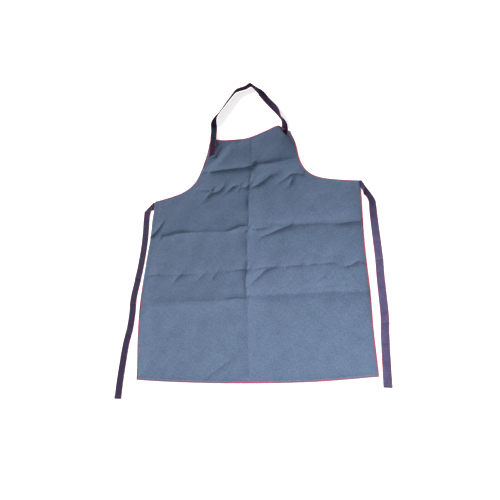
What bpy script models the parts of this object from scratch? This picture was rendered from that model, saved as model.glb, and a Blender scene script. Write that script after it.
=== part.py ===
"""Welding apron of heavy cotton, laid out flat with its front face up.

+X is to the right as one looks at the front, +Y points to the neck, +Z is up, and the floor is z = 0.
The panel lies on its own overlocked edges. The ends of the waist ties and the right end of the neck
strap are sewn to its back, and the left end of the neck strap is sewn to its front. The neck strap
and the two ties turn about their sewn ends.
"""

import math

import bpy
from mathutils import Vector

# Driving dimensions, in metres.
PANEL_LENGTH = 0.900
PANEL_WIDTH = 0.768
SKIRT_LENGTH = 0.654  # hem to waist corner
BIB_WIDTH = 0.320
BIB_DIP = 0.008  # how far the middle of the bib's top edge is cut below its corners
HEM_BOW = 0.012  # how far the middle of the hem is cut below its corners
CLOTH = 0.0015
TAPE = 0.0012
TAPE_WIDTH = 0.025
EDGING_WIDTH = 0.0026
THREAD = 0.0010  # width of a row of stitches
THREAD_HEIGHT = 0.0005
GAP = 0.0003  # left between touching pieces
HEM_Y = -0.5635  # the hem, with the origin at the middle of panel and neck strap together

# How the tapes are sewn on.
NECK_LEFT_X = -0.1475
NECK_RIGHT_X = 0.1315
NECK_LEFT_SEWN = 0.071
NECK_RIGHT_SEWN = 0.060
WAIST_SEWN = 0.050
STITCH_WIDTH = 0.019
NECK_STITCH_LENGTH = 0.040
WAIST_STITCH_LENGTH = 0.030
STITCH_INSET = 0.003  # from a tape's sewn end to its stitches
TIP_STITCH_INSET = 0.010  # from a tie's free end to the row that holds its turned end

# Layers, from the floor up.
PANEL_LOW = TAPE + GAP
PANEL_TOP = PANEL_LOW + CLOTH
FRONT_TAPE_LOW = PANEL_TOP + GAP
FRONT_TAPE_TOP = FRONT_TAPE_LOW + TAPE

# Derived places. HW is half a tape's width. Each tie turns about the top corner of its first edge.
HW = TAPE_WIDTH / 2
SIDE_X = PANEL_WIDTH / 2
BIB_X = BIB_WIDTH / 2
WAIST_Y = HEM_Y + SKIRT_LENGTH
TOP_Y = HEM_Y + PANEL_LENGTH
TIE_Y = WAIST_Y - EDGING_WIDTH - 2 * GAP - HW  # the middle of a sewn tie end
TIE_START_X = SIDE_X + GAP

# Handles of the curve that cuts each armhole, from the bib corner to the waist corner, above the hem.
ARMHOLE_HANDLES = ((0.200, 0.680), (0.2125, 0.6857))
ARMHOLE_STEPS = 16
BIB_TOP_STEPS = 10
HEM_STEPS = 12

# The neck strap's inner edge, left to right as it lies: x, height above the hem, lean in degrees.
# At lean 0 the tape lies flat outwards of this edge, at 90 it stands on it, past 90 it leans inwards.
NECK_ROUTE = (
    (-0.135, 0.9003, 0),
    (-0.1365, 0.930, 0),
    (-0.139, 0.955, 6),
    (-0.1405, 0.970, 26),
    (-0.1425, 0.989, 74),
    (-0.1425, 1.010, 116),
    (-0.131, 1.034, 128),
    (-0.100, 1.077, 131),
    (-0.070, 1.117, 121),
    (-0.052, 1.125, 103),
    (-0.022, 1.130, 98),
    (-0.002, 1.139, 92),
    (0.013, 1.121, 84),
    (0.0255, 1.102, 72),
    (0.034, 1.084, 40),
    (0.048, 1.061, 20),
    (0.070, 1.029, 12),
    (0.092, 0.997, 28),
    (0.110, 0.970, 58),
    (0.1205, 0.950, 80),
    (0.1205, 0.930, 35),
    (0.119, 0.914, 2),
    (0.119, 0.9003, 0),
)
NECK_STEPS = 3  # sections between two points of the route
DESCENT = 0.030  # along this length the strap comes down from the bib's front to the floor

# Each tie's middle line below the waist corner: x, height above the hem, share of the tape's width.
# The share is under 1 where the tape is twisted and stands partly on its edge.
LEFT_TIE_ROUTE = (
    (-0.4035, 0.612, 1.0),
    (-0.4035, 0.580, 1.0),
    (-0.4015, 0.500, 1.0),
    (-0.4045, 0.425, 1.0),
    (-0.4115, 0.350, 1.0),
    (-0.4205, 0.280, 1.0),
    (-0.4195, 0.220, 1.0),
    (-0.4225, 0.163, 1.0),
    (-0.4295, 0.122, 1.0),
    (-0.4335, 0.065, 1.0),
    (-0.4365, 0.000, 1.0),
    (-0.4370, -0.058, 1.0),
)
RIGHT_TIE_ROUTE = (
    (0.4040, 0.618, 0.80),
    (0.4115, 0.594, 0.78),
    (0.4200, 0.570, 0.82),
    (0.4210, 0.545, 1.0),
    (0.4205, 0.515, 1.0),
    (0.4215, 0.455, 1.0),
    (0.4230, 0.365, 1.0),
    (0.4215, 0.294, 1.0),
    (0.4215, 0.187, 1.0),
    (0.4165, 0.121, 1.0),
    (0.4120, 0.034, 1.0),
    (0.4095, -0.024, 1.0),
)
LEFT_STUB = 0.002  # how far each tie runs straight out of the corner before it turns down
RIGHT_STUB = 0.009
TIE_STEPS = 2

BLUE_CLOTH = (0.105, 0.145, 0.210)
NAVY_TAPE = (0.050, 0.042, 0.090)
RED_THREAD = (0.420, 0.035, 0.060)
NAVY_THREAD = (0.040, 0.050, 0.100)


def clear_scene():
    for obj in list(bpy.data.objects):
        bpy.data.objects.remove(obj, do_unlink=True)


def material(name, colour, roughness):
    made = bpy.data.materials.new(name)
    made.use_nodes = True
    shader = made.node_tree.nodes["Principled BSDF"]
    shader.inputs["Base Color"].default_value = (*colour, 1.0)
    shader.inputs["Roughness"].default_value = roughness
    shader.inputs["Metallic"].default_value = 0.0
    return made


def add_mesh(name, points, faces, finish, pivot=(0.0, 0.0, 0.0)):
    """One object whose origin is at pivot, from points in the part's frame."""
    mesh = bpy.data.meshes.new(name)
    mesh.from_pydata([Vector(p) - Vector(pivot) for p in points], [], faces)
    mesh.validate()
    mesh.materials.append(finish)
    obj = bpy.data.objects.new(name, mesh)
    obj.location = pivot
    bpy.context.scene.collection.objects.link(obj)
    return obj


def prism(name, points, faces, low, high, finish, pivot=(0.0, 0.0, 0.0)):
    """A flat piece between two heights. The faces turn anticlockwise as seen from above."""
    count = len(points)
    solid = [(x, y, low) for x, y in points] + [(x, y, high) for x, y in points]
    walls = [face[::-1] for face in faces]
    walls += [[i + count for i in face] for face in faces]
    edges = {(face[i - 1], face[i]) for face in faces for i in range(len(face))}
    for a, b in sorted(edges):
        if (b, a) not in edges:
            walls.append([a, b, b + count, a + count])
    return add_mesh(name, solid, walls, finish, pivot)


def plate(name, outline, low, high, finish, pivot=(0.0, 0.0, 0.0)):
    return prism(name, outline, [list(range(len(outline)))], low, high, finish, pivot)


def loft(name, sections, finish, pivot):
    """A closed body through equal rings of points, with a flat cap at each end."""
    size = len(sections[0])
    points = [p for ring in sections for p in ring]
    faces = [list(range(size))[::-1]]
    faces.append([(len(sections) - 1) * size + i for i in range(size)])
    for k in range(len(sections) - 1):
        for i in range(size):
            j = (i + 1) % size
            base = k * size
            faces.append([base + i, base + j, base + size + j, base + size + i])
    return add_mesh(name, points, faces, finish, pivot)


def bezier(start, first, second, end, steps):
    """Points of a cubic curve, both ends included."""
    found = []
    for k in range(steps + 1):
        t = k / steps
        u = 1 - t
        found.append(
            start * u**3 + first * 3 * u * u * t + second * 3 * u * t * t + end * t**3
        )
    return found


def smooth(route, steps):
    """A Catmull-Rom curve through the route's points, with steps sections between two points."""
    knots = [Vector(p) for p in route]
    knots = [2 * knots[0] - knots[1], *knots, 2 * knots[-1] - knots[-2]]
    found = []
    for a, b, c, d in zip(knots, knots[1:], knots[2:], knots[3:]):
        for k in range(steps):
            t = k / steps
            bend = 2 * a - 5 * b + 4 * c - d
            twist = 3 * b - a - 3 * c + d
            found.append(b + ((c - a) * t + bend * t * t + twist * t**3) / 2)
    return found + [knots[-2]]


def armhole(side):
    """The armhole's edge from the bib corner to the waist corner. side is 1 on the right, -1 on the left."""
    first, second = ARMHOLE_HANDLES
    return bezier(
        Vector((side * BIB_X, TOP_Y)),
        Vector((side * first[0], HEM_Y + first[1])),
        Vector((side * second[0], HEM_Y + second[1])),
        Vector((side * SIDE_X, WAIST_Y)),
        ARMHOLE_STEPS,
    )


def bib_top(x):
    """Height of the bib's top edge, a shallow parabola between the bib corners."""
    return TOP_Y - BIB_DIP * (1 - (x / BIB_X) ** 2)


def bib_top_edge(start, end, steps):
    found = []
    for k in range(steps + 1):
        x = start + (end - start) * k / steps
        found.append(Vector((x, bib_top(x))))
    return found


def hem_edge():
    """The hem from left to right, a shallow parabola like the bib's top edge."""
    found = []
    for k in range(HEM_STEPS + 1):
        x = PANEL_WIDTH * (k / HEM_STEPS - 0.5)
        found.append(Vector((x, HEM_Y - HEM_BOW * (1 - (x / SIDE_X) ** 2))))
    return found


def offset(path, distance, closed=False):
    """The path moved to its left by distance, with mitred corners."""
    count = len(path)
    found = []
    for i in range(count):
        before = path[i] - path[i - 1] if closed or i > 0 else path[1] - path[0]
        after = path[(i + 1) % count] - path[i] if closed or i < count - 1 else before
        a = Vector((-before.y, before.x)).normalized()
        b = Vector((-after.y, after.x)).normalized()
        mitre = (a + b).normalized()
        found.append(path[i] + mitre * (distance / mitre.dot(a)))
    return found


def panel_outline():
    """The cut edge of the panel, anticlockwise from the left end of the hem."""
    outline = hem_edge()
    outline += armhole(1)[::-1]
    outline += bib_top_edge(BIB_X, -BIB_X, BIB_TOP_STEPS)[1:-1]
    outline += armhole(-1)
    return outline


def trimmed(path, amount):
    """The path with a little taken off each end."""
    path = list(path)
    path[0] = path[0] + (path[1] - path[0]).normalized() * amount
    path[-1] = path[-1] + (path[-2] - path[-1]).normalized() * amount
    return path


def edging(name, path, mitres, finish):
    """The overlocked edge along a stretch of the outline. A mitre is a corner that it shares with the next edge."""
    inner = offset(path, EDGING_WIDTH)
    for end, neighbour in mitres.items():
        corner = offset([path[1], path[0], neighbour] if end == 0 else [path[-2], path[-1], neighbour],
                        -EDGING_WIDTH if end == 0 else EDGING_WIDTH)
        inner[end] = corner[1]
    outline = trimmed(path, GAP / 2) + trimmed(inner, GAP / 2)[::-1]
    return plate(name, outline, 0.0, PANEL_TOP, finish)


def make_edging(finish):
    """Six overlocked edges. They leave room where a tape passes under the panel."""
    side_top = TIE_Y - HW - GAP
    strap_left = NECK_RIGHT_X - HW - GAP
    strap_right = NECK_RIGHT_X + HW + GAP
    hem = hem_edge()
    right = [hem[-1], Vector((SIDE_X, side_top))]
    left = [Vector((-SIDE_X, side_top)), hem[0]]
    edging("edging_bottom", hem, {0: left[0], -1: right[1]}, finish)
    edging("edging_side_right", right, {0: hem[-2]}, finish)
    edging("edging_side_left", left, {-1: hem[1]}, finish)
    right = armhole(1)[::-1] + [Vector((strap_right, bib_top(strap_right)))]
    edging("edging_armhole_right", right, {}, finish)
    top = bib_top_edge(strap_left, -BIB_X, BIB_TOP_STEPS)
    left = armhole(-1)
    edging("edging_bib_top", top, {-1: left[1]}, finish)
    edging("edging_armhole_left", left, {0: top[-2]}, finish)


def make_neck_strap(finish):
    """The loop that goes over the head: one tape, flat at both ends and standing on its edge round the top."""
    route = smooth([(x, HEM_Y + y, lean) for x, y, lean in NECK_ROUTE], NECK_STEPS)
    sections = []
    travelled = 0.0
    for i, (x, y, lean) in enumerate(route):
        before = route[max(i - 1, 0)]
        after = route[min(i + 1, len(route) - 1)]
        run = Vector((after.x - before.x, after.y - before.y, 0)).normalized()
        if i in (0, len(route) - 1):
            run = Vector((0, 1 if i == 0 else -1, 0))
        outward = Vector((-run.y, run.x, 0))
        up = Vector((0, 0, 1))
        turn = math.radians(max(lean, 0))
        across = outward * math.cos(turn) + up * math.sin(turn)
        thick = up * math.cos(turn) - outward * math.sin(turn)
        travelled += (Vector((x, y)) - Vector((before.x, before.y))).length
        share = max(0.0, 1 - travelled / DESCENT)
        rise = FRONT_TAPE_LOW * share * share * (3 - 2 * share)
        edge = Vector((x, y, rise + TAPE * max(0.0, -math.cos(turn))))
        a, b = edge, edge + across * TAPE_WIDTH
        sections.append([a, b, b + thick * TAPE, a + thick * TAPE])
    return loft("neck_strap", sections, finish, (0, TOP_Y, FRONT_TAPE_TOP))


def make_neck_ends(tape, red, navy):
    """The two sewn ends of the neck strap, with the boxes of stitches that hold them."""
    low = TOP_Y - NECK_LEFT_SEWN
    plate("neck_strap_end_left", rectangle(NECK_LEFT_X, (low + TOP_Y) / 2, TAPE_WIDTH, NECK_LEFT_SEWN),
          FRONT_TAPE_LOW, FRONT_TAPE_TOP, tape)
    stitch_box("stitch_neck_left", NECK_LEFT_X, low + STITCH_INSET + NECK_STITCH_LENGTH / 2,
               STITCH_WIDTH, NECK_STITCH_LENGTH, FRONT_TAPE_TOP + GAP, red)
    low = TOP_Y - NECK_RIGHT_SEWN
    plate("neck_strap_end_right", rectangle(NECK_RIGHT_X, (low + TOP_Y) / 2, TAPE_WIDTH, NECK_RIGHT_SEWN),
          0.0, TAPE, tape)
    stitch_box("stitch_neck_right", NECK_RIGHT_X, low + STITCH_INSET + NECK_STITCH_LENGTH / 2,
               STITCH_WIDTH, NECK_STITCH_LENGTH, PANEL_TOP + GAP, navy)


def rectangle(x, y, width, length):
    half, tall = width / 2, length / 2
    return [Vector(p) for p in
            ((x - half, y - tall), (x + half, y - tall), (x + half, y + tall), (x - half, y + tall))]


def stitch_box(name, x, y, width, length, low, finish):
    """Rows of stitches round a rectangle and along both of its diagonals, as one body."""
    half, tall = width / 2, length / 2
    slope = math.hypot(width, length)
    shift_x = THREAD * slope / length / 2  # a diagonal row's half width, measured along X
    shift_y = THREAD * slope / width / 2  # and along Y
    points, faces = [], []
    for sx, sy in ((1, 1), (-1, 1), (-1, -1), (1, -1)):
        points.append((x + sx * half, y + sy * tall))
    for sx, sy in ((1, 1), (-1, 1), (-1, -1), (1, -1)):
        top = (half - THREAD - shift_x * 2, tall - THREAD)
        side = (half - THREAD, tall - THREAD - shift_y * 2)
        for px, py in (top, side):
            points.append((x + sx * px, y + sy * py))
    middle = len(points)
    points += [(x + shift_x, y), (x, y + shift_y), (x - shift_x, y), (x, y - shift_y)]
    top_of, side_of = [4, 6, 8, 10], [5, 7, 9, 11]
    faces.append([middle, middle + 1, middle + 2, middle + 3])
    faces.append([0, 1, top_of[1], top_of[0]])
    faces.append([1, 2, side_of[2], side_of[1]])
    faces.append([2, 3, top_of[3], top_of[2]])
    faces.append([3, 0, side_of[0], side_of[3]])
    for k in range(4):
        first, second = (side_of[k], top_of[k]) if k % 2 == 0 else (top_of[k], side_of[k])
        faces.append([k, second, first])
        faces.append([first, second, middle + (k + 1) % 4, middle + k])
    return prism(name, points, faces, low, low + THREAD_HEIGHT, finish)


def make_tie(side, label, stub, route, tape, navy):
    """A waist tie: sewn behind the waist corner, turned down beside it, then lying to its free end."""
    inner_x = SIDE_X - WAIST_SEWN
    middle_x = side * (inner_x + SIDE_X) / 2
    plate(f"waist_tie_end_{label}", rectangle(middle_x, TIE_Y, WAIST_SEWN, TAPE_WIDTH), 0.0, TAPE, tape)
    stitch_x = side * (inner_x + STITCH_INSET + WAIST_STITCH_LENGTH / 2)
    stitch_box(f"stitch_waist_{label}", stitch_x, TIE_Y, WAIST_STITCH_LENGTH, STITCH_WIDTH,
               PANEL_TOP + GAP, navy)

    pivot = (side * TIE_START_X, TIE_Y + HW, TAPE / 2)
    sampled = smooth([(x, HEM_Y + y, share) for x, y, share in route], TIE_STEPS)
    middle = [Vector((p.x, p.y)) for p in sampled]
    outer, inner = [], []
    for edge, towards in ((outer, 1), (inner, -1)):
        full = offset(middle, side * towards * HW)
        edge.extend(m + (e - m) * min(p.z, 1.0) for m, e, p in zip(middle, full, sampled))
    start = side * TIE_START_X
    outline = [Vector((start, TIE_Y + HW)), Vector((start + side * stub, TIE_Y + HW))]
    outline += outer + inner[::-1]
    outline.append(Vector((start, TIE_Y - HW)))
    outline = outline if side < 0 else outline[::-1]
    plate(f"waist_tie_{label}", outline, 0.0, TAPE, tape, pivot)

    back = (middle[-2] - middle[-1]).normalized()
    across = Vector((-back.y, back.x)) * (STITCH_WIDTH / 2)
    start = middle[-1] + back * TIP_STITCH_INSET
    row = [start - across, start + across, start + across + back * THREAD, start - across + back * THREAD]
    low = TAPE + GAP
    plate(f"stitch_tip_{label}", row[::-1], low, low + THREAD_HEIGHT, navy, pivot)


def main():
    clear_scene()
    cloth = material("blue_cloth", BLUE_CLOTH, 0.9)
    tape = material("navy_tape", NAVY_TAPE, 0.8)
    red = material("red_thread", RED_THREAD, 0.6)
    navy = material("navy_thread", NAVY_THREAD, 0.6)
    inside = offset(panel_outline(), EDGING_WIDTH + GAP, closed=True)
    plate("apron_panel", inside, PANEL_LOW, PANEL_TOP, cloth)
    make_edging(red)
    make_neck_ends(tape, red, navy)
    make_neck_strap(tape)
    make_tie(-1, "left", LEFT_STUB, LEFT_TIE_ROUTE, tape, navy)
    make_tie(1, "right", RIGHT_STUB, RIGHT_TIE_ROUTE, tape, navy)


main()
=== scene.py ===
"""Welding apron of heavy blue cotton, laid out flat with its front up.

The cloth keeps the creases that it was stored with. Its cut edges are overlocked in red, and tapes of
navy cotton are box-stitched to it: a loop for the neck, and a tie at each side of the waist.
x runs to the right and h is the height above the hem, both on the flat cut cloth. The tables of places
are in millimetres, and every other length is in metres.
"""

import math

import bmesh
import bpy
import numpy as np
from mathutils import Matrix, Vector
from mathutils.geometry import delaunay_2d_cdt


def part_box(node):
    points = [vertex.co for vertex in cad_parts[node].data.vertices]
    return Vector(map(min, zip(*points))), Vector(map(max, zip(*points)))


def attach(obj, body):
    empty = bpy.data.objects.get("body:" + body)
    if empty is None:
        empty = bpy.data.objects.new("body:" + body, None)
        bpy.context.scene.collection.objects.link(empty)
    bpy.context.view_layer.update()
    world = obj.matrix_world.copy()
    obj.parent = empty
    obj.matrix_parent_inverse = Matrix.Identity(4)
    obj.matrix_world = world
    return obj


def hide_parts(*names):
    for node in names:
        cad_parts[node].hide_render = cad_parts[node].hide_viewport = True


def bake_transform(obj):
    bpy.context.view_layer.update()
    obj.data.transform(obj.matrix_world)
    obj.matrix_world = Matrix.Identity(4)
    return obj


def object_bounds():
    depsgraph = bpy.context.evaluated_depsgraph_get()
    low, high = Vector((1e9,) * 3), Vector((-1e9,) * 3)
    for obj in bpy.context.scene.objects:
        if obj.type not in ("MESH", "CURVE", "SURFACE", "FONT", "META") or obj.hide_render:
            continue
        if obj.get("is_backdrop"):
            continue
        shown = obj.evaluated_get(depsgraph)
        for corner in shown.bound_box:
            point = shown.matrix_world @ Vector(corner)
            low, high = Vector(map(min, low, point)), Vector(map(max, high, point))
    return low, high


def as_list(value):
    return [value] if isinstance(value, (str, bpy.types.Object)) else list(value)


bl_info = {
    "name": "Welding apron",
    "version": (1, 0, 0),
    "blender": (4, 5, 0),
    "location": "3D View > Sidebar > Apron",
    "description": "Creased cotton apron with overlocked edges and woven tapes",
    "category": "Add Mesh",
}

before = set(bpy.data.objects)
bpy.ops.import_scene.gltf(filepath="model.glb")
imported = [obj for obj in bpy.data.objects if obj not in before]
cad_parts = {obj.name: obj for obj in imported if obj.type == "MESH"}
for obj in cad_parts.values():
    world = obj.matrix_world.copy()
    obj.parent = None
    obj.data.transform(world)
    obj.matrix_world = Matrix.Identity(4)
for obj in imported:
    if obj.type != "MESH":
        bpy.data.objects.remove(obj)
CAD_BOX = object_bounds()

# Places read from the frame.
HEM_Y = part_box("edging_side_left")[0][1]
SIDE_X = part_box("edging_side_right")[1][0]
TOP_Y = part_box("neck_strap_end_left")[1][1]
BIB_X = -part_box("neck_strap_end_left")[0][0]
HEM_BOW = HEM_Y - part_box("edging_bottom")[0][1]
TAPE_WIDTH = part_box("neck_strap_end_left")[1][0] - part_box("neck_strap_end_left")[0][0]
HALF = TAPE_WIDTH / 2
TIE_H = (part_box("waist_tie_end_left")[0][1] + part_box("waist_tie_end_left")[1][1]) / 2 - HEM_Y
TIE_SEWN_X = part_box("waist_tie_end_right")[0][0]
NECK_RIGHT_X = (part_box("neck_strap_end_right")[0][0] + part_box("neck_strap_end_right")[1][0]) / 2
NECK_RIGHT_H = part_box("neck_strap_end_right")[0][1] - HEM_Y
LENGTH = TOP_Y - HEM_Y  # hem to bib corner

# The cut of the panel.
SKIRT_LENGTH = 0.654
BIB_DIP = 0.008
ARMHOLE_HANDLES = ((0.200, 0.680), (0.2125, 0.6857))

# The camera, in the panel's own x and h.
CAMERA_TARGET = (0.0008, 0.4274)
CAMERA_AZIMUTH = 31.12
CAMERA_ELEVATION = 65.26
CAMERA_ROLL = -32.98
CAMERA_DISTANCE = 1.426
CAMERA_LENS = 29.70

# The two lights: place, what each points at, and diameter.
KEY_LIGHT = ((-6.5, 5.3, 4.1), (0, 0, 0), 4.2)
FILL_LIGHT = ((0.75, -1.2, 1.5), (0.2, -0.4, 0), 1.2)
FLOOR_GLOW = 0.60  # light that the floor gives off, which keeps the shadows on it faint
FLOOR_SIZE = 9  # half of the floor's side

# How the cloth lies, in mm: at x and h it is pushed by dx and dh, fading out over a reach.
LAY = (
    (-384, 645, 8, 1, 60), (-384, 520, 5, 0, 70), (-384, 250, -10, 0, 140), (-384, 0, 7, 0, 80),
    (384, 600, 4, 0, 90), (384, 250, 3, 0, 90), (384, 0, 4, 5, 120), (-170, 790, -5, 1, 80),
    (-215, 710, -2, 3, 60), (-160, 900, -1, 3, 60), (190, 750, -5, -3, 70), (160, 900, -10, -6, 45),
    (85, 880, 4, 14, 85), (106, 898, 1, 7, 26), (0, 890, 0, -4, 60),
)

# Creases, in mm: height, width, then points of x, h and strength. Over 0 is a ridge, under 0 a valley.
CREASES = {
    "centre": (-2.4, 4.8, ((0, 893, 0.3), (1, 862, 0.5), (0, 845, 0.5), (4, 800, 0.35), (3, 765, 0.25),
        (1, 735, 0.4), (1, 700, 1.1), (-4, 672, 1.1), (-7, 640, 0.3), (-8, 610, 1.1), (-5, 570, 0.4),
        (-6, 512, 1.2), (-11, 480, 0.2), (-10, 445, 0.9), (-7, 400, 0.2), (-8, 363, 1.1), (-13, 325, 0.9),
        (-12, 300, 1), (-8, 253, 1), (-5, 215, 0.3), (-3, 150, 0.2), (3, -12, 0.15))),
    "centre_broad": (-2, 30, ((0, 700, 0.3), (-6, 512, 1), (-8, 253, 1), (3, 0, 0.7))),
    "upper_left": (5, 6, ((-190, 765, 0.3), (-165, 761, 0.5), (-150, 756, 1), (-100, 756, 1),
        (-50, 756, 1), (-12, 757, 1), (3, 765, 0.5))),
    "upper_left_broad": (2.2, 24, ((-185, 765, 0.5), (-100, 758, 1), (-10, 758, 0.6))),
    "upper_right": (-6.8, 5, ((10, 768, 0.1), (24, 765, 0.9), (50, 764, 1), (100, 765, 1), (150, 768, 1),
        (180, 770, 0.6))),
    "upper_right_broad": (-0.8, 20, ((20, 762, 0.3), (80, 762, 1), (180, 768, 0.8))),
    "middle_a": (3.6, 5.5, ((-200, 684, 0.5), (-172, 680, 0.9), (-150, 676, 0.9), (-139, 665, 1),
        (-120, 670, 0.9), (-107, 682, 0.9), (-99, 697, 0.3))),
    "middle_b": (2.8, 5, ((-150, 668, 0.7), (-166, 650, 0.9), (-183, 629, 0.3))),
    "middle_c": (3.8, 5.5, ((-92, 663, 0.5), (-78, 673, 0.9), (-63, 684, 1), (-45, 684, 0.9),
        (-30, 674, 0.7), (-12, 675, 0.9), (-4, 686, 1), (4, 700, 0.6))),
    "middle_d": (4.4, 5.5, ((10, 674, 0.7), (25, 679, 1), (39, 686, 1), (55, 698, 0.6), (72, 710, 0.5),
        (100, 719, 0.2))),
    "middle_e": (3, 20, ((30, 695, 0.6), (65, 712, 1), (105, 722, 0.5))),
    "middle_f": (3.8, 5.5, ((112, 684, 0.5), (133, 696, 0.8), (147, 707, 1), (163, 712, 1),
        (192, 708, 0.7))),
    "middle_g": (3.2, 4.5, ((154, 688, 0.8), (147, 674, 0.9), (141, 662, 0.3))),
    "half_left": (-4, 4.5, ((-332, 505, 0.7), (-300, 508, 1), (-283, 513, 1), (-243, 514, 0.9),
        (-200, 510, 0.4), (-150, 508, 0.3), (-95, 503, 0.4), (-75, 507, 0.7), (-58, 512, 1),
        (-37, 518, 1.2), (-15, 517, 1.2), (-3, 512, 0.9))),
    "half_left_broad": (-1.8, 28, ((-384, 502, 0.4), (-280, 505, 1), (-150, 503, 0.8), (-20, 510, 1))),
    "half_left_corner": (3, 4.5, ((-386, 510, 1.3), (-378, 518, 1.3), (-358, 536, 1.1), (-344, 557, 0.8),
        (-332, 578, 0.2))),
    "half_right_a": (2.6, 5.5, ((-2, 519, 1.2), (15, 508, 1.2), (35, 504, 1), (68, 507, 0.4))),
    "half_right_b": (2.6, 5, ((60, 518, 0.1), (100, 512, 0.4), (150, 506, 0.7), (220, 504, 0.5),
        (270, 501, 0.4), (305, 497, 1.1), (340, 500, 1.3), (386, 502, 1.2))),
    "half_right_broad": (3.8, 22, ((50, 520, 0.6), (150, 508, 1), (300, 506, 1), (384, 506, 0.8))),
    "half_right_c": (3.6, 5, ((43, 476, 0.6), (78, 485, 1), (112, 497, 1.1), (142, 504, 0.7))),
    "lower_left": (2.2, 4.5, ((-378, 360, 0.5), (-338, 362, 0.7), (-300, 358, 0.4), (-243, 355, 0.7),
        (-190, 355, 0.3), (-130, 354, 0.3), (-80, 357, 0.3), (-45, 360, 0.8), (-25, 360, 1.3),
        (-4, 359, 1.3))),
    "lower_left_a": (2, 4.5, ((-240, 357, 0.5), (-255, 344, 0.9), (-272, 325, 0.3))),
    "lower_left_b": (1.6, 5, ((-155, 354, 0.5), (-170, 343, 0.9), (-184, 330, 0.3))),
    "lower_left_c": (1.6, 4.5, ((-116, 352, 0.5), (-126, 340, 0.8), (-132, 326, 0.3))),
    "lower_right": (2.4, 4.5, ((12, 358, 0.3), (45, 361, 1), (70, 361, 0.8), (105, 359, 0.3),
        (130, 360, 0.9), (165, 361, 1), (188, 358, 0.3), (210, 362, 0.8), (230, 362, 0.4), (260, 363, 1),
        (285, 361, 0.9), (307, 349, 1), (333, 352, 1.2), (353, 363, 1.3), (368, 360, 1.2), (386, 354, 0.9))),
    "lower_right_a": (1.4, 5, ((245, 383, 0.4), (270, 384, 0.9), (294, 386, 0.3))),
    "lower_right_b": (2.8, 5.5, ((88, 361, 0.5), (57, 352, 1), (33, 332, 0.9), (10, 313, 0.5),
        (-2, 304, 0.3))),
    "lower_right_c": (1.6, 5, ((222, 303, 0.3), (240, 315, 0.9), (258, 326, 0.3))),
    "quarter_left": (-2.4, 5, ((-384, 251, 1.2), (-360, 251, 1.1), (-335, 252, 0.6), (-200, 252, 0.4),
        (-100, 254, 0.4), (-55, 257, 0.9), (-30, 256, 1.3), (-12, 250, 1.1))),
    "quarter_left_broad": (-4.4, 32, ((-384, 250, 0.6), (-250, 250, 1), (-100, 250, 1), (-10, 250, 0.8))),
    "quarter_right_broad": (4.6, 25, ((0, 266, 0.9), (100, 262, 1), (250, 262, 1), (384, 260, 0.9))),
    "quarter_right_a": (0.6, 5, ((0, 262, 0.5), (150, 259, 0.8), (250, 262, 0.8), (345, 260, 0.9),
        (386, 256, 1.2))),
    "quarter_right_b": (1.4, 5, ((170, 278, 0.3), (245, 284, 0.9), (330, 289, 0.4))),
    "hem_drag": (1.3, 7, ((-48, 68, 0.3), (-90, 41, 0.9), (-120, 22, 1), (-146, 6, 0.5))),
    "bib_drag": (-6.6, 7.5, ((-98, 872, 0.2), (-113, 850, 0.8), (-131, 820, 1), (-150, 808, 1),
        (-183, 797, 0.6))),
    "bib_gather_a": (-5.6, 5, ((-108, 895, 1), (-118, 884, 0.9), (-128, 870, 0.4))),
    "bib_gather_b": (-3, 4.5, ((-86, 893, 0.9), (-92, 880, 0.7), (-98, 868, 0.3))),
    "bib_gather_c": (-3.6, 5, ((-63, 890, 1), (-55, 877, 0.8), (-46, 862, 0.3))),
    "bib_bulge": (4, 25, ((-130, 760, 0.3), (-105, 800, 1), (-80, 840, 0.8))),
}

# The edge that the neck strap's loop stands on: x, h in mm, and lean in degrees. At 0 the strap lies flat
# outwards of this edge, at 90 it stands on it, and past 90 it leans inwards.
NECK_ROUTE = (
    (-137.5, 900.3, 0), (-138.5, 930, 0), (-139.5, 957, 3), (-140.5, 973, 20), (-142.5, 989, 74),
    (-142.5, 1010, 110), (-131, 1034, 119), (-100, 1077, 113), (-70, 1117, 108), (-52, 1125, 101),
    (-22, 1130, 98), (-2, 1139, 92), (13, 1121, 84), (25.5, 1102, 70), (33, 1085, 30), (47, 1062, 4),
    (69, 1029, 12), (91, 998, 38), (109, 971, 66), (119.5, 950, 80), (120.5, 930, 35), (119, 914, 2),
    (119, 900.3, 0),
)

# Each tie's middle line past its turn at the corner: x and h in mm.
LEFT_TIE_ROUTE = (
    (-403.5, 600), (-403.5, 570), (-401.5, 500), (-404.5, 425), (-411.5, 350), (-420.5, 280),
    (-419.5, 220), (-422.5, 163), (-429.5, 122), (-433.5, 65), (-436.5, 0), (-437, -58),
)
RIGHT_TIE_ROUTE = (
    (420.6, 541), (420.5, 515), (421.5, 455), (423, 365), (421.5, 294), (421.5, 187), (416.5, 121),
    (412, 34), (409.5, -24),
)
# The right tie's turn at the corner, in mm: x and h of its outer edge, then x, h and height of its inner.
RIGHT_TURN = (
    (383.5, 653, 382.5, 628.2, 0), (392.3, 655, 385.5, 631, 0.5), (399, 642.5, 389.7, 619, 3),
    (404.7, 629.3, 392.6, 610.3, 10.5), (412, 616.5, 394.5, 602, 8.5), (418.8, 603.3, 395.8, 596.1, 4.8),
    (426, 588, 403.5, 585, 6), (431.6, 572.5, 408.5, 569, 5), (432.5, 559, 408.8, 553, 1.5),
)
LEFT_FOLD = ((-0.3815, 0.6520), (-0.4165, 0.6130))  # the diagonal fold of the left tie, inner end first
# Cross creases pressed into each tie: h and height.
LEFT_TIE_CREASES = ((0.505, 0.0010), (0.347, 0.0022), (0.254, 0.0016), (0.147, 0.0018), (0.075, 0.0010))
RIGHT_TIE_CREASES = ((0.424, 0.0016), (0.361, 0.0024), (0.270, 0.0015), (0.160, 0.0018), (0.099, 0.0020))

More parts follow.
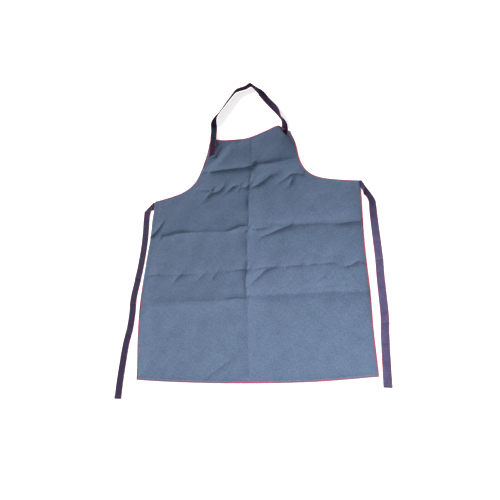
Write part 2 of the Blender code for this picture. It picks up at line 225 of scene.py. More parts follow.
SPACING = 0.0052  # between the points of the cloth
FINE_SPACING = 0.0023  # the same along its creases
FINE_REACH = 0.0062
RIM_SPACING = 0.0030
SHARP = 0.0100  # a crease narrower than this is sharp
SHARP_REACH, BROAD_REACH = 14, 4.5  # how many of its widths a crease runs out to
CREST = 0.20  # how round a crease's line is, as a share of its width
CLOTH_RISE = 0.0075  # a crease's own height over the floor, with nothing added
LEAN = np.array([0.24, -0.39])  # how far a sharp crease leans over, as a share of its height
GENTLE_SIDE = np.array([-0.775, 0.632])  # a ridge slopes gently this way and a valley the other way
FLOOR_GAP = 0.0003
RING = 12  # points across each face of a tape
TAPE_SPACING = 0.0015  # between a tie's cross-sections
HEM_TURN = 0.0085  # width of the turned hem
HEM_TUCK = 0.5  # how far the hem's overlocking is rolled under
SIDE_TUCK = 0.0026  # how far down the sides' overlocking goes where it is rolled under
NECK_TAPE_LENGTH = 0.73
LEFT_TAPE_LENGTH = 0.76
RIGHT_TAPE_LENGTH = 0.73


def srgb(code):
    """A hex colour as the linear values that a shader takes."""
    channels = [int(code[k:k + 2], 16) / 255 for k in (1, 3, 5)]
    linear = [c / 12.92 if c <= 0.04045 else ((c + 0.055) / 1.055) ** 2.4 for c in channels]
    return (*linear, 1.0)


# ---------------------------------------------------------------- the cut of the panel


def bezier(points, steps):
    t = np.linspace(0, 1, steps + 1)[:, None]
    a, b, c, d = (np.array(p, float) for p in points)
    return a * (1 - t) ** 3 + 3 * b * t * (1 - t) ** 2 + 3 * c * t * t * (1 - t) + d * t**3


def smooth(route, steps):
    """A Catmull-Rom curve through the route's points, with steps between two of them."""
    knots = np.array(route, float)
    knots = np.vstack([2 * knots[0] - knots[1], knots, 2 * knots[-1] - knots[-2]])
    found = []
    for a, b, c, d in zip(knots, knots[1:], knots[2:], knots[3:]):
        for t in np.arange(steps) / steps:
            found.append(b + ((c - a) * t + (2 * a - 5 * b + 4 * c - d) * t * t
                              + (3 * b - a - 3 * c + d) * t**3) / 2)
    return np.array(found + [knots[-2]])


def travelled(path):
    """How far along the path each of its points is."""
    return np.r_[0, np.cumsum(np.linalg.norm(np.diff(path, axis=0), axis=1))]


def heading(path):
    """The unit direction that the path runs in, at each of its points."""
    run = np.gradient(path, axis=0)
    return run / np.linalg.norm(run, axis=1)[:, None]


def even(path, gap, guide=None):
    """The path's rows at an even spacing close to gap, measured along it or along a guide."""
    lengths = travelled(path if guide is None else guide)
    count = max(2, round(lengths[-1] / gap) + 1)
    places = np.linspace(0, lengths[-1], count)
    return np.stack([np.interp(places, lengths, path[:, k]) for k in range(path.shape[1])], 1)


def cut_edge(edge):
    """One stretch of the panel's cut edge. All of them in order run anticlockwise."""
    x = np.linspace(-1, 1, 121)
    if edge == "bottom":
        return np.stack([x * SIDE_X, -HEM_BOW * (1 - x * x)], 1)
    if edge == "side_right":
        return np.array([(SIDE_X, 0.0), (SIDE_X, SKIRT_LENGTH)])
    if edge == "side_left":
        return np.array([(-SIDE_X, SKIRT_LENGTH), (-SIDE_X, 0.0)])
    if edge == "bib_top":
        return np.stack([-x * BIB_X, LENGTH - BIB_DIP * (1 - x * x)], 1)
    side = 1 if edge == "armhole_right" else -1
    points = [(BIB_X, LENGTH), *ARMHOLE_HANDLES, (SIDE_X, SKIRT_LENGTH)]
    curve = bezier([(side * px, ph) for px, ph in points], 120)
    return curve[::-1] if side > 0 else curve


EDGES = ("bottom", "side_right", "armhole_right", "bib_top", "armhole_left", "side_left")


def outline(gap):
    return np.vstack([even(cut_edge(edge), gap)[:-1] for edge in EDGES])


OUTLINE = outline(RIM_SPACING)


def distance_to(points, path, closed=False):
    """Each point's distance to a path, and how far along the path's points its nearest place is."""
    ends = np.roll(path, -1, axis=0) if closed else path[1:]
    starts = path if closed else path[:-1]
    best = np.full(len(points), np.inf)
    along = np.zeros(len(points))
    for k, (a, b) in enumerate(zip(starts, ends)):
        run = b - a
        t = np.clip((points - a) @ run / max(run @ run, 1e-12), 0, 1)
        away = np.linalg.norm(points - a - t[:, None] * run, axis=1)
        nearer = away < best
        best[nearer] = away[nearer]
        along[nearer] = k + t[nearer]
    return best, along


# ---------------------------------------------------------------- how the cloth lies


def fade(value, start, end):
    t = np.clip((value - start) / (end - start), 0, 1)
    return t * t * (3 - 2 * t)


def within(points, path, reach):
    """Which points lie in the path's bounding box, widened by reach."""
    low, high = path[:, :2].min(0) - reach, path[:, :2].max(0) + reach
    return np.flatnonzero(((points > low) & (points < high)).all(1))


def crease_paths():
    """Each crease's height and width in metres, and its path as rows of x, h and strength."""
    depth = bpy.context.scene.apron_cloth.crease_depth
    for size, width, route in CREASES.values():
        size, width = size / 1000 * depth, width / 1000
        path = smooth(np.array(route) / (1000, 1000, 1), 6)
        if width < SHARP:
            path[:, :2] += LEAN * max(0.0015, CLOTH_RISE + size)
        yield size, width, path


def creased(points):
    """Height of all the creases at the points. Each fades to both sides, a sharp one unevenly."""
    height = np.zeros(len(points))
    for size, width, path in crease_paths():
        reach = width * (SHARP_REACH if width < SHARP else BROAD_REACH)
        near = within(points, path, reach)
        away, along = distance_to(points[near], path[:, :2])
        x, h, strength = (np.interp(along, np.arange(len(path)), path[:, k]) for k in range(3))
        rounded = np.sqrt(away**2 + (CREST * width) ** 2) - CREST * width
        if width < SHARP:
            gentle = (points[near] - np.column_stack([x, h])) @ GENTLE_SIDE * size > 0
            rounded = np.where(gentle, rounded / 3, rounded)
        height[near] += size * strength * np.exp(-rounded / width) * (1 - fade(away, reach * 0.6, reach))
    return height


def waves(points, count, longest, shortest, height, seed):
    """Gentle unevenness: waves of random direction and length, taller when they are longer."""
    draw = np.random.default_rng(seed)
    total = np.zeros(len(points))
    for _ in range(count):
        length = shortest * (longest / shortest) ** draw.random()
        turn = draw.random() * math.tau
        phase = draw.random() * math.tau
        across = points @ np.array([math.cos(turn), math.sin(turn)])
        total += length / longest * np.sin(across * math.tau / length + phase)
    return total * height / math.sqrt(count / 2)


def plateau(points, low, high, slope):
    """1 over a rectangle, falling to 0 over a slope round it."""
    outside = np.maximum(np.maximum(low - points, points - high), 0)
    return 1 - fade(np.linalg.norm(outside, axis=1), 0, slope)


def raised_corner(points):
    """The right end of the bib's top, pushed up into a peak by the twisted strap beneath it."""
    peak = np.array([0.108, 0.897])
    ridge = np.array([0.052, -0.062])  # from the peak down to the armhole
    ridge = ridge / np.linalg.norm(ridge)
    along = (points - peak) @ ridge
    across = (points - peak) @ np.array([-ridge[1], ridge[0]])  # over 0 towards the corner
    crest = 1 - fade(along, -0.03, 0.130)
    left = np.clip(1 + across / 0.110, 0, 1) ** 1.25
    top = 1 - fade(0.899 - points[:, 1], 0.002, 0.014)
    right = 1 - fade(across, -0.002, 0.011 + 0.022 * top)
    return crest * np.where(across > 0, right, left)


def rolled_under(points):
    """How far the sides' overlocked edge is rolled under the cloth there, from 0 to 1."""
    x, h = points[:, 0], points[:, 1]
    left = fade(-x, 0.366, 0.378) * fade(h, 0.26, 0.36)
    right = fade(x, 0.366, 0.378) * fade(h, 0.590, 0.625)
    return np.maximum(left, right)


def relief(points):
    """Height of the cloth's underside over the floor, at places on the flat cloth."""
    edge, _ = distance_to(points, OUTLINE, closed=True)
    # The strap's stitched end holds the bib's left corner nearly free of creases.
    calm = 1 - 0.85 * plateau(points, np.array([-0.170, 0.822]), np.array([-0.137, 0.905]), 0.008)
    height = 0.0085 * (1 - np.exp(-edge / 0.050))
    height += creased(points) * fade(edge, -0.012, 0.012) * calm
    height += waves(points, 26, 0.140, 0.045, 0.00060, 5) * fade(edge, -0.01, 0.05) * calm
    height += waves(points, 40, 0.030, 0.011, 0.00009, 9) * calm
    # The hem is thicker where it is turned, with a groove at its stitches, and every edge is a little wavy.
    turn = points[:, 1] + HEM_BOW * (1 - (points[:, 0] / SIDE_X) ** 2) - HEM_TURN
    height += 0.0009 * (1 - fade(turn, -0.001, 0.0012)) - 0.0011 * np.exp(-((turn + 0.001) / 0.0022) ** 2)
    height += 0.0006 * waves(points, 12, 0.300, 0.120, 1.0, 3) * (1 - fade(edge, 0.0, 0.040))
    # It flattens out towards the floor and never goes through it.
    height = np.where(height > 0.0006, height, 0.0006 * np.exp(height / 0.0006 - 1))
    height += 0.0260 * raised_corner(points) + 0.0014 * rolled_under(points)
    height += 0.0065 * (1 - fade(np.linalg.norm(points - (-0.152, 0.885), axis=1), 0.005, 0.050))
    # It lies over the tapes that are sewn behind it, and slopes down to both sides of each.
    ties = [((side * (TIE_SEWN_X + SIDE_X + 0.004) / 2, TIE_H), ((SIDE_X + 0.004 - TIE_SEWN_X) / 2, HALF))
            for side in (-1, 1)]
    strap = ((NECK_RIGHT_X, (NECK_RIGHT_H + LENGTH) / 2), (HALF, (LENGTH - NECK_RIGHT_H) / 2))
    for middle, reach in (*ties, strap):
        low, high = np.subtract(middle, reach), np.add(middle, reach)
        height = np.maximum(height, 0.0016 * plateau(points, low, high, 0.012))
    return height


def laid(points):
    """Places on the flat cloth, moved to where they lie in the row frame, without height."""
    moved = points.copy()
    for x, h, dx, dh, reach in np.array(LAY) / 1000:
        near = np.exp(-((points - (x, h)) ** 2).sum(1) / reach**2)
        moved += near[:, None] * (dx, dh)
    return moved + (0, HEM_Y)


def on_cloth(points, above):
    """Points in the row frame that lie over the flat cloth's places, above its underside."""
    flat = np.atleast_2d(np.array(points, float))[:, :2]
    place = laid(flat)
    return np.column_stack([place, FLOOR_GAP + relief(flat) + above])


# ---------------------------------------------------------------- mesh helpers


def add_mesh(name, points, faces, finish, uvs=None):
    """A smooth-shaded mesh object at the origin. uvs holds one place for each point."""
    mesh = bpy.data.meshes.new(name)
    mesh.from_pydata([tuple(p) for p in points], [], faces)
    mesh.validate()
    if uvs is not None:
        layer = mesh.uv_layers.new(name="Cut")
        corners = np.empty(len(mesh.loops), int)
        mesh.loops.foreach_get("vertex_index", corners)
        layer.uv.foreach_set("vector", np.array(uvs, np.float32)[corners].ravel())
    mesh.materials.append(finish)
    mesh.shade_smooth()
    obj = bpy.data.objects.new(name, mesh)
    bpy.context.scene.collection.objects.link(obj)
    return obj


def apply_modifiers(obj):
    """The object's evaluated mesh in place of its own, with no modifier left on it."""
    graph = bpy.context.evaluated_depsgraph_get()
    mesh = bpy.data.meshes.new_from_object(obj.evaluated_get(graph))
    mesh.name = obj.name
    obj.modifiers.clear()
    obj.data = mesh
    return obj


def face_outwards(obj):
    mesh = bmesh.new()
    mesh.from_mesh(obj.data)
    bmesh.ops.recalc_face_normals(mesh, faces=mesh.faces)
    mesh.to_mesh(obj.data)
    mesh.free()
    return obj


def ribbon(name, first, second, thickness, finish, lift=None):
    """A woven tape between two edge paths, which have as many points as each other.

    Its cross-section has rounded edges. UVs run across in x and along in y, in metres.
    """
    first, second = np.array(first), np.array(second)
    middle = (first + second) / 2
    across = second - first
    normal = np.cross(across, heading(middle))
    normal /= np.linalg.norm(normal, axis=1)[:, None]
    lengths = travelled(middle)
    s = -np.cos(np.linspace(0, math.pi, RING))
    belly = thickness / 2 * np.sqrt(np.maximum(0, 1 - np.abs(s) ** 6))
    places = np.r_[s, s[-2:0:-1]]
    depths = np.r_[belly, -belly[-2:0:-1]]
    points, uvs = [], []
    for k in range(len(middle)):
        for place, depth in zip(places, depths):
            points.append(middle[k] + across[k] * place / 2 + normal[k] * depth)
            uvs.append((place * HALF, lengths[k]))
    size = len(places)
    faces = [list(range(size)), list(range(len(points) - size, len(points)))[::-1]]
    for k in range(len(middle) - 1):
        for i in range(size):
            j = (i + 1) % size
            faces.append([k * size + i, k * size + j, (k + 1) * size + j, (k + 1) * size + i])
    return face_outwards(add_mesh(name, points, faces, finish, uvs)), middle


# ---------------------------------------------------------------- Geometry Nodes


def add_node(tree, kind, settings=None, inputs=None):
    """One node. inputs maps a socket's name or number to a value, or to the output or node that feeds it."""
    made = tree.nodes.new(kind)
    for name, value in (settings or {}).items():
        setattr(made, name, value)
    for socket, value in (inputs or {}).items():
        if isinstance(value, bpy.types.Node):
            value = value.outputs[0]
        if isinstance(value, bpy.types.NodeSocket):
            tree.links.new(value, made.inputs[socket])
        else:
            made.inputs[socket].default_value = value
    return made


def maths(tree, operation, *values):
    """The output of a sum on numbers or other outputs."""
    return add_node(tree, "ShaderNodeMath", {"operation": operation}, dict(enumerate(values))).outputs[0]


def new_tree(name, sizes):
    """An empty tree with the geometry, the named sizes in metres and the material as its inputs."""
    tree = bpy.data.node_groups.new(name, "GeometryNodeTree")
    tree.interface.new_socket("Geometry", in_out="INPUT", socket_type="NodeSocketGeometry")
    for size in sizes:
        tree.interface.new_socket(size, in_out="INPUT", socket_type="NodeSocketFloat")
    tree.interface.new_socket("Material", in_out="INPUT", socket_type="NodeSocketMaterial")
    tree.interface.new_socket("Geometry", in_out="OUTPUT", socket_type="NodeSocketGeometry")
    return tree, add_node(tree, "NodeGroupInput")


def end_tree(tree, made, given):
    real = add_node(tree, "GeometryNodeRealizeInstances", inputs={0: made})
    shaded = add_node(tree, "GeometryNodeSetShadeSmooth", inputs={0: real})
    finished = add_node(tree, "GeometryNodeSetMaterial",
                        inputs={0: shaded, "Material": given.outputs["Material"]})
    add_node(tree, "NodeGroupOutput", inputs={0: finished})
    return tree


def stitch_tree():
    """A bead of thread every so often along each edge path, lying along it."""
    tree, given = new_tree("Running stitch", ("Pitch", "Stitch Length", "Thread"))
    curve = add_node(tree, "GeometryNodeMeshToCurve", inputs={0: given.outputs["Geometry"]})
    places = add_node(tree, "GeometryNodeResampleCurve", {"mode": "LENGTH"},
                      {0: curve, "Length": given.outputs["Pitch"]})
    half = maths(tree, "MULTIPLY", given.outputs["Thread"], 0.5)
    bead = add_node(tree, "GeometryNodeMeshUVSphere",
                    inputs={"Segments": 6, "Rings": 4, "Radius": half})
    ratio = maths(tree, "DIVIDE", given.outputs["Stitch Length"], given.outputs["Thread"])
    stretch = add_node(tree, "ShaderNodeCombineXYZ", inputs={0: 1.0, 1: 1.0, 2: ratio})
    long_bead = add_node(tree, "GeometryNodeTransform",
                         inputs={0: bead, "Scale": stretch})
    tangent = add_node(tree, "GeometryNodeInputTangent")
    turn = add_node(tree, "FunctionNodeAlignRotationToVector", {"axis": "Z"},
                    {"Vector": tangent})
    beads = add_node(tree, "GeometryNodeInstanceOnPoints",
                     inputs={0: places, "Instance": long_bead, "Rotation": turn})
    return end_tree(tree, beads, given)


def overlock_tree():
    """Loops of thread wrapped round each edge path, over a core that fills the gaps between them."""
    tree, given = new_tree("Overlock", ("Pitch", "Width", "Height", "Thread", "Slant"))
    curve = add_node(tree, "GeometryNodeMeshToCurve", inputs={0: given.outputs["Geometry"]})
    upright = add_node(tree, "GeometryNodeSetCurveNormal", {"mode": "Z_UP"}, {0: curve})
    size = add_node(tree, "ShaderNodeCombineXYZ",
                    inputs={0: given.outputs["Width"], 1: given.outputs["Height"], 2: 1.0})
    circle = add_node(tree, "GeometryNodeCurvePrimitiveCircle", inputs={"Resolution": 9, "Radius": 0.5})
    oval = add_node(tree, "GeometryNodeTransform", inputs={0: circle, "Scale": size})
    inner = add_node(tree, "GeometryNodeTransform",
                     inputs={0: oval, "Scale": (0.80, 0.70, 1.0)})
    core = add_node(tree, "GeometryNodeCurveToMesh",
                    inputs={0: upright, "Profile Curve": inner, "Fill Caps": True})
    half = maths(tree, "MULTIPLY", given.outputs["Thread"], 0.5)
    strand = add_node(tree, "GeometryNodeCurvePrimitiveCircle",
                      inputs={"Resolution": 4, "Radius": half})
    ring = add_node(tree, "GeometryNodeCurveToMesh",
                    inputs={0: oval, "Profile Curve": strand})
    turned = add_node(tree, "GeometryNodeTransform",
                      inputs={0: ring, "Rotation": (math.pi / 2, 0.0, math.pi / 2)})
    slanted = add_node(tree, "ShaderNodeCombineXYZ", inputs={2: given.outputs["Slant"]})
    loop = add_node(tree, "GeometryNodeTransform",
                    inputs={0: turned, "Rotation": slanted})
    places = add_node(tree, "GeometryNodeResampleCurve", {"mode": "LENGTH"},
                      {0: curve, "Length": given.outputs["Pitch"]})
    tangent = add_node(tree, "GeometryNodeInputTangent")
    turn = add_node(tree, "FunctionNodeAlignRotationToVector", {"axis": "X", "pivot_axis": "Z"},
                    {"Vector": tangent})
    loops = add_node(tree, "GeometryNodeInstanceOnPoints",
                     inputs={0: places, "Instance": loop, "Rotation": turn})
    both = add_node(tree, "GeometryNodeJoinGeometry", inputs={0: core})
    tree.links.new(loops.outputs[0], both.inputs[0])
    return end_tree(tree, both, given)


def sewn(name, paths, tree, sizes, finish):
    """A plain mesh of thread that the tree makes along the paths of points."""
    points, edges = [], []
    for path in paths:
        edges += [(len(points) + k, len(points) + k + 1) for k in range(len(path) - 1)]
        points += [tuple(p) for p in path]
    mesh = bpy.data.meshes.new(name)
    mesh.from_pydata(points, edges, [])
    obj = bpy.data.objects.new(name, mesh)
    bpy.context.scene.collection.objects.link(obj)
    modifier = obj.modifiers.new("Thread", "NODES")
    modifier.node_group = tree
    given = {**sizes, "Material": finish}
    for socket in tree.interface.items_tree:
        if socket.in_out == "INPUT" and socket.name in given:
            modifier[socket.identifier] = given[socket.name]
    return apply_modifiers(obj)


# ---------------------------------------------------------------- materials


def new_material(name):
    made = bpy.data.materials.new(name)
    made.use_nodes = True
    return made, made.node_tree, made.node_tree.nodes["Principled BSDF"]


def mix(tree, kind, share, first, second):
    """The output of a colour mix of two colours."""
    made = add_node(tree, "ShaderNodeMix", {"data_type": "RGBA", "blend_type": kind},
                    {0: share, 6: first, 7: second})
    return made.outputs[2]


def ramp(tree, value, low, high):
    """A number mapped so that low gives 0 and high gives 1, both held outside them."""
    return add_node(tree, "ShaderNodeMapRange", {"clamp": True},
                    {"Value": value, "From Min": low, "From Max": high}).outputs[0]


def noise(tree, place, size, detail=2.0, roughness=0.5):
    """Noise whose blotches are about size across, in metres."""
    inputs = {"Vector": place, "Scale": 1 / size, "Detail": detail, "Roughness": roughness}
    return add_node(tree, "ShaderNodeTexNoise", {"noise_dimensions": "3D"}, inputs).outputs[0]


def sine(tree, value, period):
    """A smooth wave from 0 to 1 along value, in metres."""
    wave = maths(tree, "SINE", maths(tree, "MULTIPLY", value, math.tau / period))
    return maths(tree, "MULTIPLY_ADD", wave, 0.5, 0.5)


def mottled(tree, base, value, low, high, dark, light):
    """The base colour times a shade that goes from dark to light as value goes from low to high."""
    shade = mix(tree, "MIX", ramp(tree, value, low, high), (*dark, 1), (*light, 1))
    return mix(tree, "MULTIPLY", 1.0, base, shade)


def finish_shader(tree, shader, base, height, bump, values):
    """Links a colour and a bump of (strength, distance) to the shader, and sets its even values."""
    tree.links.new(base, shader.inputs["Base Color"])
    if height is not None:
        bumps = add_node(tree, "ShaderNodeBump", {},
                         {"Strength": bump[0], "Distance": bump[1], "Height": height})
        tree.links.new(bumps.outputs[0], shader.inputs["Normal"])
    for name, value in values.items():
        shader.inputs[name].default_value = value


def cotton_drill(settings):
    """Heavy twill-woven cotton, dyed blue in the piece: matt, softly napped, with fine diagonal ribs."""
    made, tree, shader = new_material("Cotton drill")
    place = add_node(tree, "ShaderNodeUVMap", {"uv_map": "Cut"}).outputs[0]
    parts = add_node(tree, "ShaderNodeSeparateXYZ", inputs={0: place})
    across, along = parts.outputs[0], parts.outputs[1]
    # The ribs of 300 g/m2 drill are 0.6 mm apart. They are drawn 2.2 mm apart, or they would not show.
    rib = sine(tree, maths(tree, "ADD", maths(tree, "MULTIPLY", along, 0.74),
                           maths(tree, "MULTIPLY", across, 0.67)), 0.0022)
    # Yarns vary in thickness along their length, which shows as short faint streaks both ways.
    stretched = [add_node(tree, "ShaderNodeMapping", inputs={"Vector": place, "Scale": scale}).outputs[0]
                 for scale in ((1.0, 0.12, 1.0), (0.12, 1.0, 1.0))]
    warp, weft = (noise(tree, vector, 0.0016, 1.0) for vector in stretched)
    nap = noise(tree, place, 0.0050, 3.0, 0.62)
    patches = noise(tree, place, 0.042, 3.0, 0.55)
    # Painted light: the colour is lighter towards the hem and the right and darker towards the bib, as if
    # stronger light fell on the hem.
    lamplit = ramp(tree, maths(tree, "MULTIPLY_ADD", across, -0.42, along), 0.93, -0.16)
    base = mix(tree, "MIX", lamplit, srgb(settings.colour_bib), srgb(settings.colour_hem))
    yarn = maths(tree, "ADD", warp, weft)
    base = mottled(tree, base, nap, 0.34, 0.68, (0.87, 0.88, 0.89), (1.14, 1.13, 1.11))
    base = mottled(tree, base, patches, 0.32, 0.68, (0.93, 0.93, 0.94), (1.06, 1.06, 1.05))
    base = mottled(tree, base, yarn, 0.75, 1.25, (0.84, 0.84, 0.86), (1.14, 1.14, 1.12))
    base = mottled(tree, base, rib, 0.0, 1.0, (0.94, 0.94, 0.95), (1.05, 1.05, 1.05))
    height = maths(tree, "ADD", maths(tree, "MULTIPLY", rib, 0.35), maths(tree, "MULTIPLY", yarn, 0.45))
    height = maths(tree, "ADD", height, maths(tree, "MULTIPLY", nap, 0.8))
    finish_shader(tree, shader, base, height, (0.45, 0.0006), {
        "Roughness": 0.92, "Specular IOR Level": 0.25, "Sheen Weight": 0.12, "Sheen Roughness": 0.6,
        "Sheen Tint": srgb("#A9BBD2")})
    return made


def cotton_tape(name, settings, shade, paler_from, paler_over):
    """Herringbone-woven cotton tape, dyed navy, with a red warp yarn along each selvedge.

    shade is its brightness, as a share of the settings' colours: painted shade, which makes copies of one
    tape darker where less light falls on them. Past paler_from along it, it turns over the next paler_over
    to the paler colours, which are painted light.
    """
    made, tree, shader = new_material(name)
    place = add_node(tree, "ShaderNodeUVMap", {"uv_map": "Cut"}).outputs[0]
    parts = add_node(tree, "ShaderNodeSeparateXYZ", inputs={0: place})
    across, along = parts.outputs[0], parts.outputs[1]
    # Herringbone columns are 4 mm wide. Their ribs are 0.8 mm apart, drawn 1.6 mm apart so that they show.
    column = maths(tree, "PINGPONG", maths(tree, "ADD", across, 0.1), 0.004)
    rib = sine(tree, maths(tree, "ADD", along, column), 0.0016)
    nap = noise(tree, place, 0.0035, 3.0, 0.6)
    base = mix(tree, "MIX", rib, srgb(settings.colour_dark), srgb(settings.colour_light))
    # Painted light: past paler_from the tape turns paler along its length, as if more light fell on that
    # stretch.
    paler = mix(tree, "MIX", rib, srgb(settings.colour_lit_rib_shadow), srgb(settings.colour_lit_rib))
    base = mix(tree, "MIX", ramp(tree, along, paler_from, paler_from + paler_over), base, paler)
    # Painted shade: shade darkens the whole copy of the tape, for a tape that lies in less light.
    base = mottled(tree, base, nap, 0.3, 0.7, [shade * 0.80] * 3, [shade * 1.20] * 3)
    patches = noise(tree, place, 0.022, 2.0, 0.6)
    base = mottled(tree, base, patches, 0.32, 0.68, (0.80, 0.82, 0.86), (1.22, 1.17, 1.13))
    rim = ramp(tree, maths(tree, "ABSOLUTE", across), HALF - 0.0019, HALF - 0.0013)
    base = mix(tree, "MIX", maths(tree, "MULTIPLY", rim, 0.85), base, srgb(settings.colour_selvedge))
    height = maths(tree, "ADD", rib, maths(tree, "MULTIPLY", nap, 0.7))
    finish_shader(tree, shader, base, height, (0.5, 0.0004), {
        "Roughness": 0.85, "Specular IOR Level": 0.3 * shade**2, "Sheen Weight": 0.10 * shade**2,
        "Sheen Roughness": 0.5})
    return made


def polyester_thread(name, colour):
    """Spun polyester sewing thread: brighter than the cotton and a little glossy, with twisted plies."""
    made, tree, shader = new_material(name)
    place = add_node(tree, "ShaderNodeTexCoord").outputs["Object"]
    # The plies' twist is 0.4 mm, drawn as 0.9 mm blotches of light and dark.
    twist = noise(tree, place, 0.0009, 2.0)
    base = mottled(tree, srgb(colour), twist, 0.3, 0.7, [0.78] * 3, [1.18] * 3)
    finish_shader(tree, shader, base, twist, (0.4, 0.0002), {"Roughness": 0.55, "Sheen Weight": 0.15})
    return made


def paper_floor(colour):
    """Seamless background paper: pale and matt, lit faintly from behind, with a very fine tooth."""
    made, tree, shader = new_material("Background paper")
    place = add_node(tree, "ShaderNodeTexCoord").outputs["Object"]
    tooth = noise(tree, place, 0.004, 2.0)
    base = mottled(tree, srgb(colour), tooth, 0.2, 0.8, [0.97] * 3, [1.0] * 3)
    finish_shader(tree, shader, base, None, None, {
        "Roughness": 0.95, "Specular IOR Level": 0.1, "Emission Color": srgb(colour),
        "Emission Strength": FLOOR_GLOW})
    return made


def finish_named(name, make, *given):
    """The material of that name, made the first time that it is asked for."""
    return bpy.data.materials.get(name) or make(*given)


def thread(shade, colour):
    """The sewing thread of a shade, such as Red."""
    name = shade + " polyester thread"
    return finish_named(name, polyester_thread, name, colour)


def tape_finish(name, shade, paler_from=9.0, paler_over=1.0):
    settings = bpy.context.scene.apron_tape
    return finish_named(name, cotton_tape, name, settings, shade, paler_from, paler_over)


# ---------------------------------------------------------------- where the tapes lie


def flat_places(points):
    """The inverse of laid: places in the row frame, taken back to the flat cloth."""
    wanted = np.atleast_2d(np.array(points, float))[:, :2]
    flat = wanted - (0, HEM_Y)
    for _ in range(8):
        flat += wanted - laid(flat)
    return flat


def underside(points):
    return FLOOR_GAP + relief(flat_places(points))


def topside(points):
    return underside(points) + bpy.context.scene.apron_cloth.thickness


def between(first, second, count):
    """count places from one point to the other, ends included."""
    share = np.linspace(0, 1, count)[:, None]
    return np.array(first) * (1 - share) + np.array(second) * share


def rest_on(first, second, surface, gap):
    """Edge points of a tape, given the height that keeps all of its width over, or under, a surface.

    gap over 0 keeps it over the surface, and under 0 below it.
    """
    shares = np.linspace(0, 1, 7)
    sign = 1 if gap > 0 else -1
    a = surface(first) + gap
    b = surface(second) + gap
    worst = np.zeros(len(first))
    for share in shares[1:-1]:
        line = a * (1 - share) + b * share
        need = surface(first * (1 - share) + second * share) + gap - line
        worst = np.maximum(worst, sign * need)
    a, b = a + sign * worst, b + sign * worst
    if sign < 0:
        lowest = FLOOR_GAP + bpy.context.scene.apron_tape.thickness / 2
        a, b = np.maximum(a, lowest), np.maximum(b, lowest)
    return np.column_stack([first, a]), np.column_stack([second, b])


def neck_left_places():
    """The strap's left sewn end on the bib's front, as pairs of places: its cut end is slanted."""
    inner = ((-0.1430, 0.836), (-0.1400, 0.857), (-0.1380, 0.880), (-0.1375, LENGTH))
    outer = ((-0.1685, 0.825), (-0.1655, 0.848), (-0.1635, 0.874), (-0.1625, LENGTH))
    return smooth(np.array(inner) + (0, HEM_Y), 5), smooth(np.array(outer) + (0, HEM_Y), 5)


def neck_edges():
    """The neck strap's two edges from its left sewn end, round the loop, to its right sewn end."""
    tape = bpy.context.scene.apron_tape.thickness
    lowest = FLOOR_GAP + tape / 2
    first, second = rest_on(*neck_left_places(), topside, tape / 2 + 0.0001)
    # It passes over the bib's overlocked edge.
    rise = 0.0011 * fade(first[:, 1], TOP_Y - 0.016, TOP_Y - 0.001)
    first[:, 2] += rise
    second[:, 2] += rise
    route = smooth(np.array(NECK_ROUTE) / (1000, 1000, 1), 4)
    lengths = travelled(route[:, :2])
    run = heading(route[:, :2])
    outward = np.column_stack([-run[:, 1], run[:, 0], np.zeros(len(run))])
    lean = np.radians(np.maximum(route[:, 2], 0))[:, None]
    a = level(route[:, 0], route[:, 1] + HEM_Y, lowest)
    b = a + (outward * np.cos(lean) + np.array([0, 0, 1.0]) * np.sin(lean)) * TAPE_WIDTH
    # It comes down from the bib's front to the floor in a soft slope.
    share = 1 - fade(lengths, 0.0, 0.060)
    a[:, 2] += (first[-1, 2] - lowest) * share
    b[:, 2] += (second[-1, 2] - lowest) * share
    # Behind the bib it follows the underside of the raised corner.
    middle = between((NECK_RIGHT_X, TOP_Y), (NECK_RIGHT_X, HEM_Y + NECK_RIGHT_H), 14)
    c, d = rest_on(middle - (HALF, 0), middle + (HALF, 0), underside, -(tape / 2 + 0.0002))
    share = 1 - fade(lengths[-1] - lengths, 0.0, 0.030)
    a[:, 2] += (c[0, 2] - a[-1, 2]) * share
    b[:, 2] += (d[0, 2] - b[-1, 2]) * share
    return np.vstack([first[:-1], a[:-1], c]), np.vstack([second[:-1], b[:-1], d])


def densified(first, second, gap):
    """Both edges of a tape as more points, close to gap apart along its middle."""
    both = smooth(np.hstack([first, second]), 6)
    both = even(both, gap, (both[:, :3] + both[:, 3:]) / 2)
    return both[:, :3], both[:, 3:]


def turned_end(first, second, thickness, length):
    """A tape's free end doubled back over itself: the stations that follow the last one."""
    back = (first[-2] + second[-2] - first[-1] - second[-1]) / 2
    back /= np.linalg.norm(back)
    up = np.array([0, 0, 1.0])
    bend = -back * thickness * 0.55 + up * thickness * 0.56
    rise = up * thickness * 1.12
    steps = [bend, rise, rise + back * length * 0.5, rise + back * length]
    return (np.vstack([first] + [first[-1] + s for s in steps]),
            np.vstack([second] + [second[-1] + s for s in steps]))


def pressed(middle, creases):
    """Extra height where a tie has been folded across before: a soft slope above and a sharp one below."""
    lift = np.zeros(len(middle))
    for h, height in creases:
        above = middle[:, 1] - HEM_Y - h
        lift += height * np.exp(-np.abs(above) / np.where(above > 0, 0.014, 0.0024))
    return lift


def level(x, y, z):
    """Points from their coordinates, any of which may be one number for all of them."""
    return np.stack(np.broadcast_arrays(x, y, z), 1).astype(float)


def routed(route, steps, lowest):
    """Both edges of a tie lying flat along its route, the one nearer the panel first."""
    middle = smooth(np.array(route) / 1000, steps) + (0, HEM_Y)
    run = heading(middle)
    outward = math.copysign(HALF, route[0][0]) * np.column_stack([-run[:, 1], run[:, 0]])
    return [level(*(middle + way * outward).T, lowest) for way in (-1, 1)]


